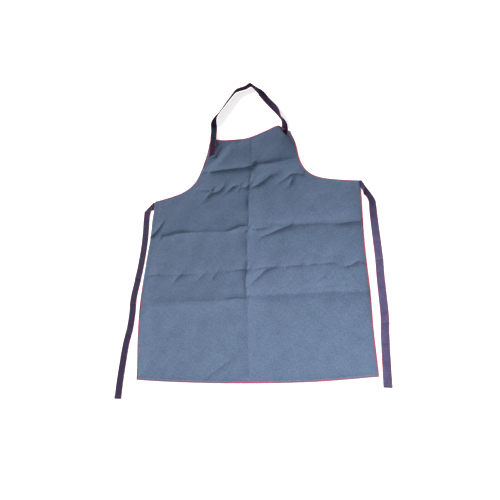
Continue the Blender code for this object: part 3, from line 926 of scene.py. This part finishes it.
def left_tie_edges():
    """The left tie: out from behind the panel, folded over on the slant, and down to its free end."""
    tape = bpy.context.scene.apron_tape.thickness
    lowest = FLOOR_GAP + tape / 2
    xs = np.linspace(-TIE_SEWN_X, LEFT_FOLD[0][0] + 0.001, 14)
    droop = 0.0070 * fade(-xs, 0.356, 0.376)
    first = level(xs, HEM_Y + TIE_H + HALF, lowest)
    second = level(xs, HEM_Y + TIE_H - HALF - droop, lowest)
    rise = tape * 1.5
    ends = [np.array([x, h + HEM_Y, lowest]) for x, h in LEFT_FOLD]
    fold = ends[1] - ends[0]
    out = np.array([-fold[1], fold[0], 0])
    out *= -math.copysign(1, out[0]) / np.linalg.norm(out)
    folds = [np.array([end, end + out * tape * 0.6 + (0, 0, rise / 2), end + (0, 0, rise)]) for end in ends]
    inner, outer = densified(*routed(LEFT_TIE_ROUTE, 16, lowest), TAPE_SPACING)
    settle = rise * (1 - fade(inner[0, 1] - inner[:, 1], 0.010, 0.060))
    lift = settle + pressed((inner + outer) / 2, LEFT_TIE_CREASES)
    inner[:, 2] += lift
    outer[:, 2] += lift
    return [np.vstack([start, fold, between(fold[-1], rest[0], 9)[1:-1], rest])
            for start, fold, rest in zip((first, second), folds, (inner, outer))]


def right_tie_edges():
    """The right tie: out from behind the panel, twisted round the corner, and down to its free end."""
    lowest = FLOOR_GAP + bpy.context.scene.apron_tape.thickness / 2
    xs = np.linspace(TIE_SEWN_X, 0.376, 12)
    turn = np.array(RIGHT_TURN) / 1000 + (0, HEM_Y, 0, HEM_Y, lowest)
    inner, outer = routed(RIGHT_TIE_ROUTE, 8, lowest)
    inner = np.vstack([level(xs, HEM_Y + TIE_H - HALF, lowest), turn[:, 2:], inner])
    outer = np.vstack([level(xs, HEM_Y + TIE_H + HALF, lowest), level(*turn[:, :2].T, lowest), outer])
    inner, outer = densified(inner, outer, TAPE_SPACING)
    lift = pressed((inner + outer) / 2, RIGHT_TIE_CREASES)
    inner[:, 2] += lift
    outer[:, 2] += lift
    return inner, outer


# ---------------------------------------------------------------- settings


def size_setting(name, description, default, low, high):
    return bpy.props.FloatProperty(name=name, description=description, default=default, min=low, max=high,
                                   precision=5, unit="LENGTH")


def colour_setting(name, description, default):
    return bpy.props.StringProperty(name=name, description=description + ", as sRGB hex", default=default)


def power_setting(name, description, default):
    return bpy.props.FloatProperty(name=name, description=description, default=default, min=0.0)


class ApronCloth(bpy.types.PropertyGroup):
    thickness: size_setting("Thickness", "Thickness of the panel's cloth", 0.0008, 0.0003, 0.0020)
    crease_depth: bpy.props.FloatProperty(
        name="Crease depth", description="How strong the stored creases are, against the table's heights",
        default=1.65, min=0.0, max=3.0, subtype="FACTOR")
    # Painted light: the bib colour is painted darker and the hem colour lighter, as if the light fell off
    # towards the bib.
    colour_bib: colour_setting("Bib colour", "The cloth's colour at the bib", "#414F65")
    colour_hem: colour_setting("Hem colour", "The cloth's slightly faded colour at the hem", "#677A96")


class ApronTape(bpy.types.PropertyGroup):
    thickness: size_setting("Thickness", "Thickness of the woven tape", 0.0011, 0.0005, 0.0020)
    turned: size_setting("Turned end", "Length of a tie's free end that is doubled back and sewn",
                         0.010, 0.004, 0.020)
    colour_dark: colour_setting("Rib shadow", "The tape's colour between its ribs", "#29213F")
    colour_light: colour_setting("Rib", "The tape's colour on its ribs", "#392F55")
    # Painted light: the paler colours that a tape is painted in where more light falls on it.
    colour_lit_rib_shadow: colour_setting(
        "Painted lit rib shadow", "The colour between the ribs where the tape is painted paler, as if more light fell there", "#494265")
    colour_lit_rib: colour_setting(
        "Painted lit rib", "The colour of the ribs where the tape is painted paler, as if more light fell there", "#625A82")
    colour_selvedge: colour_setting("Selvedge", "Colour of the yarn along both edges of the tape", "#B02A48")


class ApronThread(bpy.types.PropertyGroup):
    width: size_setting("Overlock width", "Width of the overlocked edge", 0.0032, 0.0015, 0.0060)
    height: size_setting("Overlock height", "Height of the loops round the cut edge", 0.0021, 0.0010, 0.0030)
    pitch: size_setting("Overlock pitch", "Distance between two loops", 0.0019, 0.0010, 0.0050)
    slant: bpy.props.FloatProperty(
        name="Overlock slant", description="How far each loop leans along the edge",
        default=math.radians(20), subtype="ANGLE")
    strand: size_setting("Thread", "Thickness of the sewing thread", 0.0006, 0.0003, 0.0012)
    stitch: size_setting("Stitch", "Length of one stitch that shows", 0.0024, 0.0010, 0.0060)
    colour_red: colour_setting("Red", "Colour of the red thread", "#DA3252")
    colour_box: colour_setting("Dark red", "Colour of the thread in the strap's stitched box", "#6E2440")
    colour_navy: colour_setting("Navy", "Colour of the navy thread", "#3A4668")


class ApronStage(bpy.types.PropertyGroup):
    floor: colour_setting("Floor", "Colour of the floor", "#F6F6F6")
    key: power_setting("Key light", "Power of the soft light at the neck's left, in watts", 1580.0)
    fill: power_setting("Fill light", "Power of the wide light over the hem, in watts", 19.0)
    sky: power_setting("Surroundings", "Strength of the even light from all round", 0.17)


# ---------------------------------------------------------------- pieces


def staggered(gap):
    """Places on a grid of even triangles that covers the cut cloth."""
    rows = np.arange(-HEM_BOW, LENGTH, gap * math.sqrt(0.75))
    columns = np.arange(-SIDE_X, SIDE_X, gap)
    x, h = np.meshgrid(columns, rows)
    x = x + gap * 0.5 * (np.arange(len(rows)) % 2)[:, None]
    return np.column_stack([x.ravel(), h.ravel()])


def near_crease(points):
    """Distance from each point to the nearest sharp crease or the hem's turn, up to just past FINE_REACH."""
    nearest = np.full(len(points), FINE_REACH * 2)
    x = np.linspace(-SIDE_X, SIDE_X, 60)
    paths = [path[:, :2] for _, width, path in crease_paths() if width < SHARP]
    paths.append(np.column_stack([x, HEM_TURN - HEM_BOW * (1 - (x / SIDE_X) ** 2)]))
    for path in paths:
        near = within(points, path, FINE_REACH)
        away, _ = distance_to(points[near], path)
        nearest[near] = np.minimum(nearest[near], away)
    return nearest


class APRON_OT_cloth(bpy.types.Operator):
    """The panel: one sheet of drill, cut to shape and lying in the creases that it was folded into"""

    bl_idname = "apron.cloth"
    bl_label = "Cloth panel"

    def execute(self, context):
        settings = context.scene.apron_cloth
        rim = outline(RIM_SPACING)
        coarse, fine = staggered(SPACING), staggered(FINE_SPACING)
        fine = fine[near_crease(fine) < FINE_REACH]
        coarse = coarse[near_crease(coarse) > FINE_REACH + SPACING * 0.25]
        inside = np.vstack([coarse, fine])
        away, _ = distance_to(inside, rim, closed=True)
        inside = inside[away > RIM_SPACING * 0.6]
        corners = [Vector(p) for p in np.vstack([rim, inside])]
        loop = [list(range(len(rim)))]
        flat, _, faces, _, _, _ = delaunay_2d_cdt(corners, [], loop, 1, 1e-6)
        flat = np.array([tuple(p) for p in flat])
        used = sorted({i for face in faces for i in face})
        renumbered = {old: new for new, old in enumerate(used)}
        flat = flat[used]
        faces = [[renumbered[i] for i in face] for face in faces]
        place = laid(flat)
        height = FLOOR_GAP + relief(flat) + settings.thickness
        cloth = add_mesh("apron_cloth", np.column_stack([place, height]), faces,
                         finish_named("Cotton drill", cotton_drill, settings), flat)
        if cloth.data.polygons[0].normal.z < 0:
            cloth.data.flip_normals()
        thick = cloth.modifiers.new("Thickness", "SOLIDIFY")
        thick.thickness = settings.thickness
        thick.offset = -1
        apply_modifiers(cloth)
        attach(cloth, "apron")
        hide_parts("apron_panel")
        return {"FINISHED"}


def edge_path(edge, inset, above):
    """Points along a cut edge, moved inwards on the flat cloth, at a height over the cloth's underside."""
    path = even(cut_edge(edge), 0.0015)
    run = heading(path)
    moved = (path + inset * np.column_stack([-run[:, 1], run[:, 0]]))[1:-1]
    placed = on_cloth(moved, above)
    placed[:, 2] = np.maximum(placed[:, 2] - SIDE_TUCK * rolled_under(moved), 0.0005)
    return placed


class APRON_OT_overlock(bpy.types.Operator):
    """The six overlocked edges: loops of red thread over the cut edge, and the needle line beside them"""

    bl_idname = "apron.overlock"
    bl_label = "Overlocked edges"

    def execute(self, context):
        settings = context.scene.apron_thread
        cloth = context.scene.apron_cloth.thickness
        loops, beads = overlock_tree(), stitch_tree()
        loop_sizes = {"Pitch": settings.pitch, "Width": settings.width, "Height": settings.height,
                      "Thread": settings.strand, "Slant": settings.slant}
        bead_sizes = {"Pitch": settings.stitch * 1.3, "Stitch Length": settings.stitch,
                      "Thread": settings.strand}
        for edge in EDGES:
            tucked = HEM_TUCK if edge == "bottom" else 0.0
            path = edge_path(edge, settings.width * (0.35 + 0.45 * tucked), cloth / 2)
            path[:, 2] -= tucked * settings.height * 0.45
            path[:, 2] = np.maximum(path[:, 2], settings.height / 2 + settings.strand / 2)
            needle = edge_path(edge, settings.width * (1.15 + 0.45 * tucked), cloth + settings.strand * 0.2)
            red = thread("Red", settings.colour_red)
            piece = sewn("overlock_" + edge, [path], loops, loop_sizes, red)
            line = sewn("needle_line", [needle], beads, bead_sizes, red)
            joined(piece, [line])
            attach(piece, "apron")
            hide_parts("edging_" + edge)
        return {"FINISHED"}


def joined(obj, others):
    """The others' meshes added to obj's, as one piece."""
    whole = bmesh.new()
    whole.from_mesh(obj.data)
    for other in others:
        whole.from_mesh(other.data)
        bpy.data.objects.remove(other, do_unlink=True)
    whole.to_mesh(obj.data)
    whole.free()
    return obj


class APRON_OT_neck_tape(bpy.types.Operator):
    """The neck strap: one tape from the bib's front, round its loop, to behind the bib's right corner"""

    bl_idname = "apron.neck_tape"
    bl_label = "Neck tape"

    def execute(self, context):
        settings = context.scene.apron_tape
        first, second = neck_edges()
        first, second = densified(first, second, 0.003)
        # Painted shade: the neck strap's copy of the tape is painted at half brightness, as it stands in
        # shade.
        tape, middle = ribbon("neck_tape", first, second, settings.thickness,
                              tape_finish("Cotton herringbone tape, painted darker", 0.50))
        tape["middle"] = middle.ravel().tolist()
        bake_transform(tape)
        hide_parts("neck_strap", "neck_strap_end_left", "neck_strap_end_right")
        return {"FINISHED"}


class APRON_OT_waist_tapes(bpy.types.Operator):
    """The two waist ties: sewn behind the waist corners, turned down beside the skirt, with doubled ends"""

    bl_idname = "apron.waist_tapes"
    bl_label = "Waist tapes"

    def execute(self, context):
        settings = context.scene.apron_tape
        # Painted light: each tie's copy of the tape has its own brightness, and the right one is painted
        # paler along its length, where more light falls.
        for label, side, edges, finish in (
            ("left", -1, left_tie_edges(), tape_finish("Cotton herringbone tape", 0.88)),
            ("right", 1, right_tie_edges(),
             tape_finish("Cotton herringbone tape, reverse up", 1.0, 0.120, 0.160)),
        ):
            first, second = turned_end(*edges, settings.thickness, settings.turned)
            tape, _ = ribbon("waist_tape_" + label, first, second, settings.thickness, finish)
            tape["middle"] = ((edges[0] + edges[1]) / 2).ravel().tolist()
            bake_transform(tape)
            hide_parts("waist_tie_" + label, "waist_tie_end_" + label)
        return {"FINISHED"}


def around(corners):
    """The pairs of a box's four corners that its stitching runs between: its sides, then its diagonals."""
    return [(corners[a], corners[b]) for a, b in ((0, 1), (1, 2), (2, 3), (3, 0), (0, 2), (1, 3))]


class APRON_OT_stitches(bpy.types.Operator):
    """The stitched boxes that hold the tapes, the rows at the ties' ends, and the row along the hem"""

    bl_idname = "apron.stitches"
    bl_label = "Stitches"

    def execute(self, context):
        settings = context.scene.apron_thread
        tape = context.scene.apron_tape
        tree = bpy.data.node_groups["Running stitch"]
        sizes = {"Pitch": settings.stitch * 1.25, "Stitch Length": settings.stitch,
                 "Thread": settings.strand}
        sunk = settings.strand * 0.15

        navy_thread = thread("Navy", settings.colour_navy)

        # The box on the strap's left end follows the strap: each place is a share of its length from the cut
        # end, and a share of its width.
        first, second = rest_on(*neck_left_places(), topside, tape.thickness + 0.0001)
        rows = []
        for start, end in around(((0.06, 0.13), (0.06, 0.87), (0.62, 0.87), (0.62, 0.13))):
            along, across = between(start, end, 30).T
            places = along * (len(first) - 1)
            a, b = (np.stack([np.interp(places, np.arange(len(first)), side[:, k]) for k in range(3)], 1)
                    for side in (first, second))
            rows.append(a + (b - a) * across[:, None] + (0, 0, sunk))
        red = sewn("stitches_neck_left", rows, tree, sizes, thread("Dark red", settings.colour_box))
        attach(red, "apron")
        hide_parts("stitch_neck_left")

        for place in ("neck_right", "waist_left", "waist_right"):
            (west, south, _), (east, north, _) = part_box("stitch_" + place)
            rows = []
            for start, end in around(((west, south), (east, south), (east, north), (west, north))):
                count = max(3, int(math.dist(start, end) / 0.001))
                row = between(start, end, count)
                rows.append(np.column_stack([row, topside(row) + sunk]))
            navy = sewn("stitches_" + place, rows, tree, sizes, navy_thread)
            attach(navy, "apron")
            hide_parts("stitch_" + place)

        for label in ("left", "right"):
            body = bpy.data.objects["waist_tape_" + label]
            middle = np.array(body["middle"]).reshape(-1, 3)
            back = middle[-5] - middle[-1]
            back[2] = 0
            back /= np.linalg.norm(back)
            across = np.array([-back[1], back[0], 0]) * (HALF - 0.003)
            rows = []
            for away in (0.0022, tape.turned - 0.0022):
                centre = middle[-1] + back * away
                centre[2] = FLOOR_GAP + tape.thickness * 2.12 + 0.0001 + sunk
                rows.append(between(centre - across, centre + across, 24))
            navy = sewn("stitches_tip_" + label, rows, tree, sizes, navy_thread)
            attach(navy, "tie_" + label)
            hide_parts("stitch_tip_" + label)

        row = edge_path("bottom", HEM_TURN, context.scene.apron_cloth.thickness + settings.strand * 0.2)
        navy = sewn("hem_stitches", [row], tree, sizes, navy_thread)
        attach(navy, "apron")
        return {"FINISHED"}


class APRON_OT_declare(bpy.types.Operator):
    """Takes the stored middle lines off the three tapes; the rim, sewn pieces and lengths that it lists are
    not used
    """

    bl_idname = "apron.declare"
    bl_label = "Cloth and cords"

    def execute(self, context):
        rim = outline(0.001)
        sewn_on = ["overlock_" + edge for edge in EDGES]
        sewn_on += ["stitches_neck_left", "stitches_neck_right", "stitches_waist_left",
                    "stitches_waist_right", "hem_stitches"]
        for name, length, far_end, pieces in (
            ("neck_tape", NECK_TAPE_LENGTH, "object", []),
            ("waist_tape_left", LEFT_TAPE_LENGTH, "bare", ["stitches_tip_left"]),
            ("waist_tape_right", RIGHT_TAPE_LENGTH, "bare", ["stitches_tip_right"]),
        ):
            tape = bpy.data.objects[name]
            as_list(pieces)
            del tape["middle"]
        return {"FINISHED"}


class APRON_OT_stage(bpy.types.Operator):
    """A pale paper floor, two soft lights and the camera above the hem's right side"""

    bl_idname = "apron.stage"
    bl_label = "Stage"

    def execute(self, context):
        settings = context.scene.apron_stage
        corners = [(x * FLOOR_SIZE, y * FLOOR_SIZE, 0) for x, y in ((-1, -1), (1, -1), (1, 1), (-1, 1))]
        floor = add_mesh("floor", corners, [(0, 1, 2, 3)],
                         finish_named("Background paper", paper_floor, settings.floor))
        floor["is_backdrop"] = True

        def area_light(name, place, target, size, power):
            light = bpy.data.lights.new(name, "AREA")
            light.shape = "DISK"
            light.size = size
            light.energy = power
            obj = bpy.data.objects.new(name, light)
            obj.location = place
            obj.rotation_euler = (Vector(place) - Vector(target)).to_track_quat("Z", "Y").to_euler()
            context.scene.collection.objects.link(obj)

        area_light("key", *KEY_LIGHT, settings.key)
        area_light("fill", *FILL_LIGHT, settings.fill)

        world = bpy.data.worlds.new("Studio")
        world.use_nodes = True
        sky = world.node_tree.nodes["Background"]
        sky.inputs["Color"].default_value = (1, 1, 1, 1)
        sky.inputs["Strength"].default_value = settings.sky
        context.scene.world = world
        context.scene.view_settings.view_transform = "Standard"

        azimuth, elevation = math.radians(CAMERA_AZIMUTH), math.radians(CAMERA_ELEVATION)
        back = Vector((math.sin(azimuth) * math.cos(elevation),
                       -math.cos(azimuth) * math.cos(elevation), math.sin(elevation)))
        right = Vector((0, 0, 1)).cross(back).normalized()
        up = back.cross(right)
        roll = math.radians(CAMERA_ROLL)
        level = right * math.cos(roll) + up * math.sin(roll)
        upright = up * math.cos(roll) - right * math.sin(roll)
        turn = Matrix((level, upright, back)).transposed()
        target = Vector((CAMERA_TARGET[0], CAMERA_TARGET[1] + HEM_Y, 0))
        lens = bpy.data.cameras.new("camera")
        lens.lens = CAMERA_LENS
        camera = bpy.data.objects.new("camera", lens)
        camera.matrix_world = Matrix.Translation(target + back * CAMERA_DISTANCE) @ turn.to_4x4()
        context.scene.collection.objects.link(camera)
        context.scene.camera = camera
        return {"FINISHED"}


class APRON_PT_panel(bpy.types.Panel):
    """Settings and steps of the apron, in the sidebar"""

    bl_idname = "APRON_PT_panel"
    bl_label = "Welding apron"
    bl_space_type = "VIEW_3D"
    bl_region_type = "UI"
    bl_category = "Apron"

    def draw(self, context):
        for group in SETTINGS:
            settings = getattr(context.scene, group)
            box = self.layout.box()
            for name in settings.__annotations__:
                box.prop(settings, name)
        for step in STEPS:
            self.layout.operator("apron." + step)


SETTINGS = {"apron_cloth": ApronCloth, "apron_tape": ApronTape, "apron_thread": ApronThread,
            "apron_stage": ApronStage}
STEPS = ("cloth", "overlock", "neck_tape", "waist_tapes", "stitches", "declare", "stage")
CLASSES = (*SETTINGS.values(), APRON_OT_cloth, APRON_OT_overlock, APRON_OT_neck_tape, APRON_OT_waist_tapes,
           APRON_OT_stitches, APRON_OT_declare, APRON_OT_stage, APRON_PT_panel)


def register():
    for made in CLASSES:
        bpy.utils.register_class(made)
    for name, group in SETTINGS.items():
        setattr(bpy.types.Scene, name, bpy.props.PointerProperty(type=group))


def unregister():
    for name in SETTINGS:
        delattr(bpy.types.Scene, name)
    for made in reversed(CLASSES):
        bpy.utils.unregister_class(made)


def main():
    register()
    for step in STEPS:
        getattr(bpy.ops.apron, step)()
    boxes = {"cad": CAD_BOX, "visual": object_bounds()}
    {name: [[float(x) for x in corner] for corner in box] for name, box in boxes.items()}


if __name__ == "__main__":
    main()
